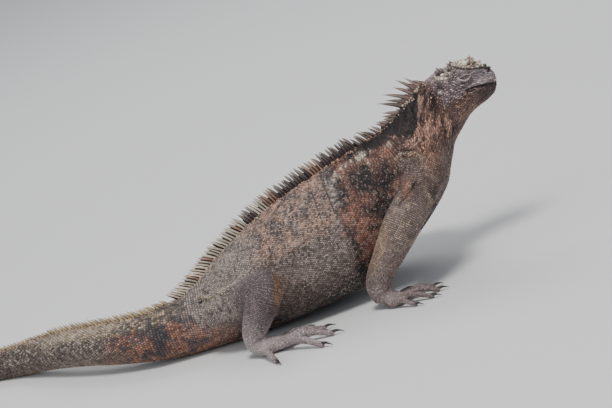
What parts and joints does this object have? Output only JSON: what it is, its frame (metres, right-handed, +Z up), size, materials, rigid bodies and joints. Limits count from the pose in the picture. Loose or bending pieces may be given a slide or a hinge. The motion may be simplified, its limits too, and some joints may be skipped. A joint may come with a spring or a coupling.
{
  "type": "marine iguana",
  "caption": "Life-size marine iguana standing on four legs with its chest raised and its head up, a spiny crest along the neck and back, and a long curved tail.",
  "frame": {"origin": "middle of the bounding box, on the floor", "axes": "+X forward towards the snout, +Y the animal's left, +Z up"},
  "size_m": [0.8734, 0.3356, 0.1943],
  "materials": {
    "claw_foot_left_1": "satin",
    "claw_foot_left_2": "satin",
    "claw_foot_left_3": "satin",
    "claw_foot_left_4": "satin",
    "claw_foot_left_5": "satin",
    "claw_foot_right_1": "satin",
    "claw_foot_right_2": "satin",
    "claw_foot_right_3": "satin",
    "claw_foot_right_4": "satin",
    "claw_foot_right_5": "satin",
    "claw_hand_left_1": "satin",
    "claw_hand_left_2": "satin",
    "claw_hand_left_3": "satin",
    "claw_hand_left_4": "satin",
    "claw_hand_left_5": "satin",
    "claw_hand_right_1": "satin",
    "claw_hand_right_2": "satin",
    "claw_hand_right_3": "satin",
    "claw_hand_right_4": "satin",
    "claw_hand_right_5": "satin",
    "eye_left": "gloss",
    "eye_right": "gloss",
    "foot_left": "matte",
    "foot_right": "matte",
    "forearm_left": "matte",
    "forearm_right": "matte",
    "hand_left": "matte",
    "hand_right": "matte",
    "head": "matte",
    "neck": "matte",
    "shank_left": "matte",
    "shank_right": "matte",
    "tail_base": "matte",
    "tail_end": "matte",
    "tail_middle": "matte",
    "thigh_left": "matte",
    "thigh_right": "matte",
    "torso": "matte",
    "upper_arm_left": "matte",
    "upper_arm_right": "matte"
  },
  "bodies": {
    "root": {"claw_foot_left_1": "claw_foot_left_1", "claw_foot_left_2": "claw_foot_left_2", "claw_foot_left_3": "claw_foot_left_3", "claw_foot_left_4": "claw_foot_left_4", "claw_foot_left_5": "claw_foot_left_5", "claw_foot_right_1": "claw_foot_right_1", "claw_foot_right_2": "claw_foot_right_2", "claw_foot_right_3": "claw_foot_right_3", "claw_foot_right_4": "claw_foot_right_4", "claw_foot_right_5": "claw_foot_right_5", "claw_hand_left_1": "claw_hand_left_1", "claw_hand_left_2": "claw_hand_left_2", "claw_hand_left_3": "claw_hand_left_3", "claw_hand_left_4": "claw_hand_left_4", "claw_hand_left_5": "claw_hand_left_5", "claw_hand_right_1": "claw_hand_right_1", "claw_hand_right_2": "claw_hand_right_2", "claw_hand_right_3": "claw_hand_right_3", "claw_hand_right_4": "claw_hand_right_4", "claw_hand_right_5": "claw_hand_right_5", "eye_left": "eye_left", "eye_right": "eye_right", "foot_left": "foot_left", "foot_right": "foot_right", "forearm_left": "forearm_left", "forearm_right": "forearm_right", "hand_left": "hand_left", "hand_right": "hand_right", "head": "head", "neck": "neck", "shank_left": "shank_left", "shank_right": "shank_right", "tail_base": "tail_base", "tail_end": "tail_end", "tail_middle": "tail_middle", "thigh_left": "thigh_left", "thigh_right": "thigh_right", "torso": "torso", "upper_arm_left": "upper_arm_left", "upper_arm_right": "upper_arm_right"}
  },
  "joints": []
}
